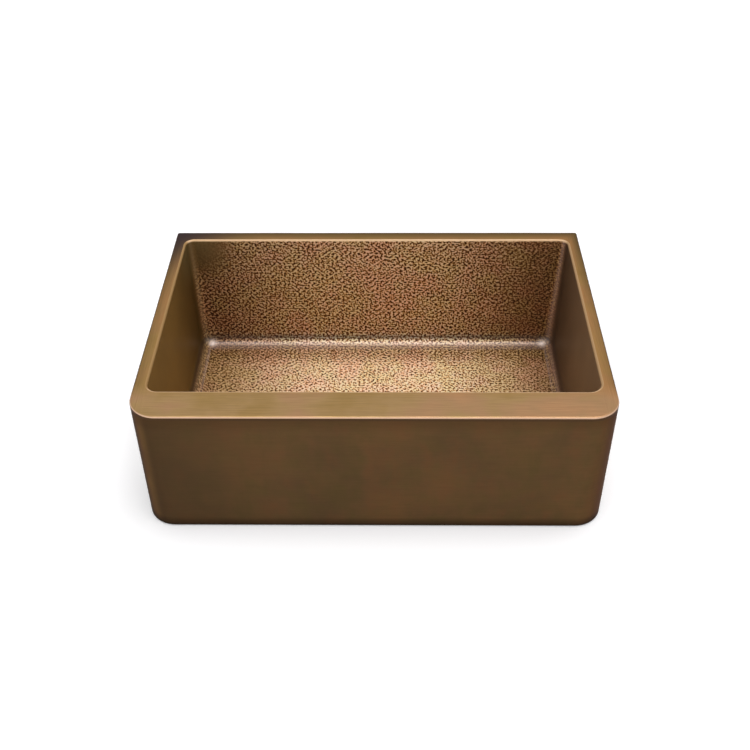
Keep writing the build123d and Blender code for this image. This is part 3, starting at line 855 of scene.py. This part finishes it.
# %% Strainer: turned profile with threads
THREAD_PITCH = 2.2 * MM
ROUND_STEPS = 144
STRAINER_MM = [  # radius, height, steps to the next point, depth of the thread on the way
    (46.5, 17.4, 3, 0), (41.4, 15.4, 10, 0), (41.4, -26.0, 8, 0), (25.0, -31.0, 3, 0),
    (19.05, -36.95, 6, 0), (19.05, -52.0, 3, 0), (23.6, -52.0, 66, 0.9), (23.6, -35.65, 3, 0),
    (27.5, -32.3, 6, 0), (43.0, -27.3, 176, 0.7), (43.0, 15.0, 6, 0), (57.15, 15.0, 1, 0),
    (57.15, 15.8, 3, 0), (53.15, 17.4, 3, 0),
]
RUNOUT = 0.06
SHARP = np.radians(32)


def strainer_grid():
    """Radius and height of each profile point at each angle. Threaded runs: radius minus depth times
    (1 + cos(2 pi height / pitch + angle)) / 2, faded at both ends of the run."""
    angle = np.linspace(0, 2 * np.pi, ROUND_STEPS, endpoint=False)
    rings = []
    for (radius, height, steps, depth), after in zip(STRAINER_MM, STRAINER_MM[1:] + STRAINER_MM[:1]):
        t = np.linspace(0, 1, steps, endpoint=False)[:, None]
        z = (height + (after[1] - height) * t) * MM + 0 * angle
        fade = smooth_step(t, 0.0, RUNOUT) * (1 - smooth_step(t, 1 - RUNOUT, 1.0))
        groove = depth * fade * (1 + np.cos(2 * np.pi * z / THREAD_PITCH + angle)) / 2
        r = (radius + (after[0] - radius) * t - groove) * MM
        rings.append(np.stack([r * np.cos(angle), r * np.sin(angle), z], axis=2))
    return np.concatenate(rings)


def add_strainer():
    """Closed both ways: the last ring joins the first, and so does the last angle."""
    points = strainer_grid()
    numbers = np.arange(points[..., 0].size).reshape(points.shape[:2])
    quads = grid_quads(np.pad(numbers, ((0, 1), (0, 1)), "wrap"))
    mesh = mesh_of("strainer_threaded", points.reshape(-1, 3), [quads])
    mesh.shade_smooth()
    mesh.set_sharp_from_angle(angle=SHARP)
    piece = add_object("strainer_threaded", mesh)
    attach(piece, "sink")
    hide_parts("strainer_body")
    print("strainer_threaded:", len(quads) * 2, "triangles")
    return piece


strainer = add_strainer()

# %% [markdown]
# ## Light and floor
# A studio for metal is large, soft lights in a pale room. One wide light from above and a little in front
# draws the bright lines along the rolled edges and the fillet; a weak, cooler one from the front left lifts
# the apron. The pale floor has a round hole for the drain, as a cabinet's platform has. It is a little
# brighter to the camera and in reflections than to the scattered light, which keeps the background white
# without more light on the metal.

# %% Floor
FLOOR_HALF = 12.0
FLOOR_HOLE = 80 * MM
FLOOR_GAP = 0.3 * MM
FLOOR_LIFT = 0.22
FLOOR_SPOKES, FLOOR_RINGS = 96, 24


def seen_ray():
    """1 for rays from the camera, off polished metal or through glass; 0 for light that is scattered."""
    path = node("ShaderNodeLightPath")
    seen = path.outputs["Is Camera Ray"]
    for ray in ("Is Glossy Ray", "Is Transmission Ray"):
        seen = calculate("MAXIMUM", seen, path.outputs[ray])
    return seen


def add_floor():
    """Rings from the drain's hole out to the far edge, the radius growing by a constant factor."""
    angle = np.linspace(0, 2 * np.pi, FLOOR_SPOKES, endpoint=False)
    radius = np.geomspace(FLOOR_HOLE, FLOOR_HALF, FLOOR_RINGS)[:, None]
    x, y = radius * np.cos(angle), radius * np.sin(angle)
    points = np.stack([x, y, np.full_like(x, -FLOOR_GAP)], axis=2)
    numbers = np.pad(np.arange(x.size).reshape(x.shape), ((0, 0), (0, 1)), "wrap")
    mesh = mesh_of("studio_floor", points.reshape(-1, 3), [grid_quads(numbers)[:, ::-1]])
    floor = add_object("studio_floor", mesh)
    begin(bpy.data.materials.new("studio_floor"))
    finish = shade(
        Base_Color=(0.93, 0.93, 0.93, 1.0),
        Roughness=0.9,
        Specular_IOR_Level=0.1,
        Emission_Color=(1.0, 1.0, 1.0, 1.0),
        Emission_Strength=calculate("MULTIPLY", seen_ray(), FLOOR_LIFT),
    )
    floor.data.materials.append(finish)


add_floor()

# %% Lights and world
WORLD_LIGHT = 0.52
SUNS = [  # name, strength, angle of its disc in degrees, direction towards it, colour
    ("key_light", 1.6, 36, (0.12, -0.03, 1.0), (0.99, 0.98, 1.0)),
    ("fill_light", 0.35, 60, (-0.8, -1.0, 0.55), (0.93, 0.95, 1.0)),
]


def add_sun(name, strength, disc, toward, colour):
    """Light from very far away: the wider its disc, the softer the shadow. It shines along -toward."""
    lamp = bpy.data.lights.new(name, "SUN")
    lamp.energy, lamp.angle, lamp.color = strength, np.radians(disc), colour
    aim = unit(np.array(toward))
    side = unit(np.cross([0.0, 1.0, 0.0], aim))
    add_object(name, lamp).matrix_world = placed((side, np.cross(aim, side), aim))


def add_world():
    """White room for the camera and for reflections, and a plain soft level for everything else."""
    world = bpy.data.worlds.new("studio")
    begin(world)
    level = between(seen_ray(), 0.0, 1.0, WORLD_LIGHT, 1.0)
    room = node("ShaderNodeBackground", {"Color": (1, 1, 1, 1), "Strength": level})
    node("ShaderNodeOutputWorld", {"Surface": room.outputs[0]})
    bpy.context.scene.world = world


for sun in SUNS:
    add_sun(*sun)
add_world()
bpy.context.scene.view_settings.view_transform = "Standard"

# %% [markdown]
# ## Hammered copper
# The bowl is darkened with a chemical patina, then rubbed. The rubbing only reaches the tops, so the pits stay
# dark brown and rough, and the ridges come back bright and smoother. The ridge value that shaped the metal
# also drives its colour, so the two can't drift apart. The other marks are painted light and shade: a painted
# highlight along the rear fillet and at each end of it, a painted reflection on the upright corners behind,
# and painted shade in the crease above the fillet and on the floor near the back wall. The fillet and the
# corners also get a thicker clear coat, and one corner is left alone.

# %% Finish: hammered copper
def hammered_copper():
    """Dark pits, ridges lightened by rubbing and wide patches of pinker and greener brown, then the smooth
    brown side walls, the painted highlights, reflection and shade of the marks, and the lip's roll, painted
    lighter as a highlight line along the inner edge."""
    begin(bpy.data.materials.new("hammered_copper"))
    at = place()
    rightward = along(at, 0, LEFT, RIGHT)
    # The corner mark is a painted reflection and the bend mark a painted highlight; both also set where the
    # clear coat is thicker.
    side, corner, bend = [stored(label) for label in ("side", "corner", "bend")]
    specks = times(grain(at, 6.0, 4.0, 0.8), 2.0, -1.0)
    uneven = times(specks, times(stored("beaten"), 0.75, 0.25))
    worn = calculate("ADD", stored("ridge"), uneven)
    dull = [
        (0.12, rgb(50, 29, 11)),
        (0.44, rgb(104, 74, 42)),
        (0.70, rgb(170, 137, 98)),
        (0.95, rgb(212, 180, 142)),
    ]
    bright = [
        (0.12, rgb(66, 31, 6)),
        (0.42, rgb(176, 128, 80)),
        (0.66, rgb(255, 222, 182)),
        (0.9, rgb(255, 252, 236)),
    ]
    # The rubbing mark also carries the painted shade on the floor near the back wall.
    colour = mix(stored("rubbed_and_shaded"), ramp(worn, dull), ramp(worn, bright))
    tints = [(0.40, (0.96, 0.88, 0.65)), (0.52, (0.98, 0.85, 0.71)), (0.62, (1.0, 0.80, 0.69))]
    patches = ramp(grain(at, 55, 3.0, 0.55), tints)
    colour = mix(1.0, colour, patches, "MULTIPLY")
    olive = mix(rightward, rgb(140, 110, 56), rgb(133, 108, 82))
    clouded = ramp(grain(at, 130, 4.0, 0.6), [(0.35, 1.0), (0.6, 0.86)])
    side_colour = mix(1.0, olive, clouded, "MULTIPLY")
    darker = mix(rightward, rgb(74, 54, 18), rgb(68, 49, 33))
    side_colour = mix(along(at, 1, 0.0, OPEN_BACK, 0.0, 0.85), side_colour, darker)
    colour = layered(
        colour,
        (side, side_colour),
        # Painted reflection on the upright corners behind.
        (times(corner, 0.36), mix(rightward, rgb(162, 138, 94), rgb(200, 170, 160))),
        # Painted shade in the crease above the rear fillet.
        (times(stored("painted_crease_shade"), 0.72), rgb(62, 43, 32)),
        # Painted highlight along the rear fillet.
        (times(bend, 0.5), rgb(178, 158, 150)),
        # Painted highlight at each end of the rear fillet.
        (times(stored("painted_knot_highlight"), 0.85), rgb(238, 222, 212)),
        (times(stored("quiet"), 0.8), rgb(118, 100, 62)),
    )
    # Painted highlight along the inner roll: near the rim's own colour at the sides, brighter at the front and
    # back.
    side_edge = mix(rightward, rgb(160, 126, 79), rgb(173, 139, 99))
    edge = mix(side, rgb(196, 162, 122), side_edge)
    risen = ramp(stored("rise"), [(0.05, 0.0), (0.6, 1.0)])
    beaten_rough = ramp(worn, [(0.15, 0.66), (0.9, 0.56)])
    waxed = calculate("MAXIMUM", bend, corner)
    return shade(
        Base_Color=mix(risen, colour, edge),
        Metallic=0.6,
        Roughness=mix(side, beaten_rough, (0.62, 0.62, 0.62)),
        Normal=bump(grain(at, 1.3, 2.0), 0.05, 0.5),
        Specular_Tint=(0.5, 0.42, 0.34, 1.0),
        Coat_Weight=times(waxed, 0.42, 0.12),
        Coat_IOR=1.7,
        Coat_Roughness=0.3,
    )


hammered_finish = hammered_copper()
for piece in bowl:
    piece.data.materials.append(hammered_finish)

# %% [markdown]
# ## Brushed rim and patinated apron
# The rim was brushed after it was darkened, so fine streaks run along it. Its front edge carries a thin
# painted highlight line, and away from the front the rim and its outer roll are darkened as painted shade. The
# apron keeps its patina: large, dim clouds of olive and red-brown, smaller ones in them, and faint brush marks
# under both, with painted shade under the rim's edge and at the foot and a painted highlight down the left
# bend.

# %% Finish: rim
BLACK = (0.0, 0.0, 0.0)
# Dark brown of the apron's patina, used as painted shade under the rim's edge.
UNDER_RIM_PATINA_AND_SHADE = rgb(70, 48, 26)
STREAK = 0.035
CORNER_AT = (LEFT, BACK, TOP)


def rim_copper():
    """Light brown copper with streaks along X in front and behind, and along Y at both sides. Away from the
    front it is darkened towards the outside as painted shade, darkest in the back left corner. The front edge
    has a painted highlight in a thin line; under it the outer roll turns into the apron's dark brown, partly
    patina and partly painted shade, and at the back and sides the outer roll is darkened as painted shade."""
    begin(bpy.data.materials.new("rim_copper"))
    at = place()
    along_x = grain(place((STREAK, 1.0, 1.0)), 1.6)
    along_y = grain(place((1.0, STREAK, 1.0)), 1.6)
    split = node("ShaderNodeSeparateXYZ", {"Vector": at})
    out = calculate("ABSOLUTE", split.outputs[0])
    streaks = mix(between(out, OPEN_RIGHT - 8 * MM, OPEN_RIGHT + 8 * MM), along_x, along_y)
    tints = [
        (0.32, rgb(147, 118, 72)),
        (0.46, rgb(156, 126, 84)),
        (0.56, rgb(159, 124, 88)),
        (0.68, rgb(166, 126, 89)),
    ]
    base = ramp(grain(at, 110, 3.0, 0.55), tints)
    not_front = along(at, 1, OPEN_FRONT - 20 * MM, OPEN_FRONT + 20 * MM)
    sides = mix(along(at, 0, LEFT, RIGHT), (0.98, 0.93, 0.74), (1.08, 0.97, 0.75))
    base = mix(not_front, base, mix(1.0, base, sides, "MULTIPLY"))
    across = stored("across")
    # Painted shade: away from the front the rim darkens towards the outside, most in the back left corner.
    shade_share = times(not_front, along(at, 1, 0.0, BACK, 0.45, 1.0))
    shaded_base = mix(ramp(across, [(0.0, 0.30), (0.9, 1.0)]), base, rgb(92, 72, 38))
    in_corner = ramp(apart(at, CORNER_AT), [(0.0, 1.0), (0.19, 0.0)], smooth=True)
    base = layered(base, (shade_share, shaded_base), (in_corner, rgb(50, 38, 40)))
    colour = mix(0.18, base, ramp(streaks, [(0.3, 0.25), (0.7, 0.75)]), "OVERLAY")
    halved = times(across, 0.5)
    # Painted highlight in a thin line along the front edge.
    highlight_line = ramp(halved, [(0.56, 0.0), (0.64, 1.0), (0.76, 1.0), (0.84, 0.0)])
    highlight_line = mix(not_front, highlight_line, BLACK)
    # Painted shade on the outer roll at the back and sides; below the highlight line the roll takes the
    # apron's dark brown, partly patina and partly painted shade.
    outline = mix(not_front, BLACK, ramp(halved, [(0.51, 0.0), (0.6, 0.85)]))
    under = ramp(halved, [(0.76, 0.0), (0.86, 1.0)])
    return shade(
        Base_Color=layered(
            colour, (highlight_line, rgb(206, 170, 142)), (under, UNDER_RIM_PATINA_AND_SHADE), (outline, rgb(62, 44, 28))
        ),
        Metallic=0.8,
        Roughness=ramp(streaks, [(0.3, 0.50), (0.7, 0.42)]),
        Normal=bump(streaks, 0.02, 0.5),
        Specular_Tint=(0.4, 0.32, 0.24, 1.0),
        Coat_Weight=mix(highlight_line, (0.1, 0.1, 0.1), (0.25, 0.25, 0.25)),
        Coat_IOR=1.6,
        Coat_Roughness=0.2,
    )


rim.data.materials.append(rim_copper())
rim_lip.data.materials.append(hammered_finish)


# %% Finish: apron and back
# Where the painted highlight runs down the left front bend.
BEND_HIGHLIGHT_AT = (LEFT + 17 * MM, FRONT + 13 * MM, 0.0)


def apron_copper():
    """Dark brown patina in clouds of olive and red-brown, over faint level brush marks. It is darker at the
    left end, has painted shade under the rim's edge and at the foot, and a painted highlight down the left
    bend."""
    begin(bpy.data.materials.new("apron_copper"))
    at = place()
    clouds = grain(at, 150, 4.0)
    tint = grain(place((1.0, 1.0, 1.6)), 60, 4.0, 0.55)
    mottle = grain(place((1.0, 1.0, 0.55)), 34, 4.0, 0.6)
    brushed = grain(place((0.04, 0.04, 1.0)), 1.8)
    from_bend = apart(place((1.0, 1.0, 0.0)), BEND_HIGHLIGHT_AT)
    bend_highlight = ramp(from_bend, [(0.0, 1.0), (0.02, 0.0)], smooth=True)
    toned = layered(
        ramp(clouds, [(0.34, rgb(84, 64, 42)), (0.5, rgb(90, 67, 43)), (0.66, rgb(95, 69, 43))]),
        (ramp(tint, [(0.45, 0.0), (0.7, 0.4)]), rgb(87, 70, 40)),
        (ramp(mottle, [(0.5, 0.0), (0.66, 0.3)]), rgb(76, 65, 36)),
        (ramp(mottle, [(0.34, 0.3), (0.48, 0.0)]), rgb(101, 66, 42)),
        (along(at, 0, -0.16, LEFT, 0.0, 0.8), rgb(66, 50, 32)),
        # Painted highlight down the left front bend.
        (times(bend_highlight, mottle), rgb(116, 90, 54)),
        # Painted shade under the rim's edge.
        (along(at, 2, LIP_LOW - 26 * MM, LIP_LOW, 0.0, 0.5), UNDER_RIM_PATINA_AND_SHADE),
        # Painted shade at the foot.
        (along(at, 2, 24 * MM, 0.0, 0.0, 0.92), rgb(34, 23, 13)),
    )
    return shade(
        Base_Color=mix(0.12, toned, ramp(brushed, [(0.3, 0.3), (0.7, 0.7)]), "OVERLAY"),
        Metallic=0.8,
        Roughness=ramp(clouds, [(0.3, 0.52), (0.7, 0.42)]),
        Normal=bump(brushed, 0.015, 0.4),
        Specular_Tint=(0.3, 0.24, 0.18, 1.0),
    )


apron_finish = apron_copper()
for piece in (apron, back_skin):
    piece.data.materials.append(apron_finish)

# %% Finishes of the measured pieces
def plain(name, dark, light, metallic=1.0, rough=(0.3, 0.42), stretch=(1.0, 1.0, 1.0), size_mm=6.0):
    """Machined, drawn or moulded piece: two tones in fine grain, and a slight relief."""
    begin(bpy.data.materials.new(name))
    marks = grain(place(stretch), size_mm, 4.0, 0.6)
    return shade(
        Base_Color=ramp(marks, [(0.3, dark), (0.7, light)]),
        Metallic=metallic,
        Roughness=ramp(marks, [(0.3, rough[1]), (0.7, rough[0])]),
        Normal=bump(marks, 0.02, 0.4),
    )


slot_finishes = {
    "copper_apron": apron_finish,
    "copper_inner": plain("mill_copper", rgb(150, 92, 66), rgb(196, 130, 98), size_mm=30),
    "bronze_strainer": plain("satin_bronze", rgb(96, 70, 46), rgb(128, 96, 62), rough=(0.26, 0.36)),
    "brass_nut": plain("machined_brass", rgb(150, 118, 62), rgb(188, 152, 86), stretch=(1, 1, 12)),
    "brass_tube": plain("drawn_brass", rgb(160, 126, 68), rgb(196, 160, 92), stretch=(1, 1, 0.04)),
    "steel": plain("stainless", rgb(150, 150, 150), rgb(190, 190, 190)),
    "rubber": plain("black_rubber", rgb(24, 24, 24), rgb(36, 36, 36), 0.0, (0.55, 0.7)),
    "fibre_ring": plain("pressed_fibre", rgb(150, 128, 100), rgb(178, 156, 124), 0.0, (0.7, 0.85)),
    "nylon": plain("natural_nylon", rgb(206, 200, 184), rgb(222, 218, 204), 0.0, (0.4, 0.5)),
}
strainer.data.materials.append(slot_finishes["bronze_strainer"])
slots = {part["node"]: part["material_slot"] for part in frame["record"]["subparts"]}
for name, piece in frame["nodes"].items():
    finish = slot_finishes.get(slots[name], apron_finish)
    for material_slot in piece.material_slots:
        material_slot.material = finish
